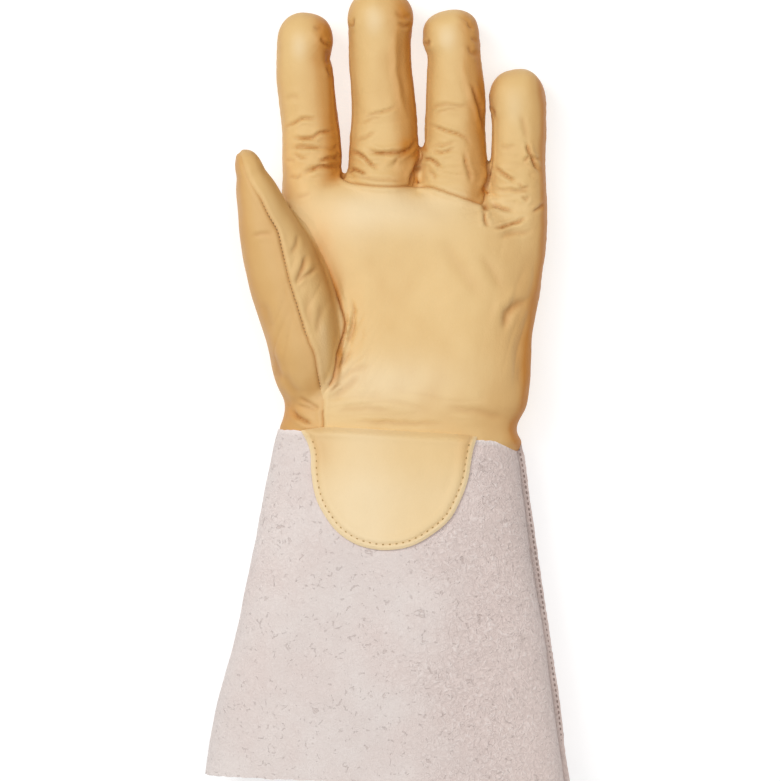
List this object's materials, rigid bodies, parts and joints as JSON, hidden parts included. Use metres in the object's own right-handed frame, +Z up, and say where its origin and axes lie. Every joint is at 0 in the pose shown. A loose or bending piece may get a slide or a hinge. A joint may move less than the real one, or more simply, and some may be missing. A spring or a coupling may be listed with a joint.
{
  "type": "electrician's leather overglove",
  "caption": "Left-hand leather overglove for electrical work: gunn-cut grain leather hand, wing thumb, pulse patch and long flared split-leather cuff.",
  "frame": {"origin": "bottom centre of the bounding box, on the surface the glove lies on", "axes": "+X to the little finger side, +Y to the fingertips, +Z up out of the palm; the glove lies on its back"},
  "size_m": [0.1642, 0.3587, 0.0621],
  "materials": {
    "grain_leather": "satin",
    "split_leather": "matte"
  },
  "bodies": {
    "root": {"hand_back": "grain_leather", "palm_panel": "grain_leather", "middle_finger_front": "grain_leather", "ring_finger_front": "grain_leather", "fourchette_index_middle": "grain_leather", "fourchette_middle_ring": "grain_leather", "fourchette_ring_little": "grain_leather", "thumb_outer": "grain_leather", "thumb_inner": "grain_leather", "pulse_patch": "grain_leather", "cuff": "split_leather"}
  },
  "joints": []
}
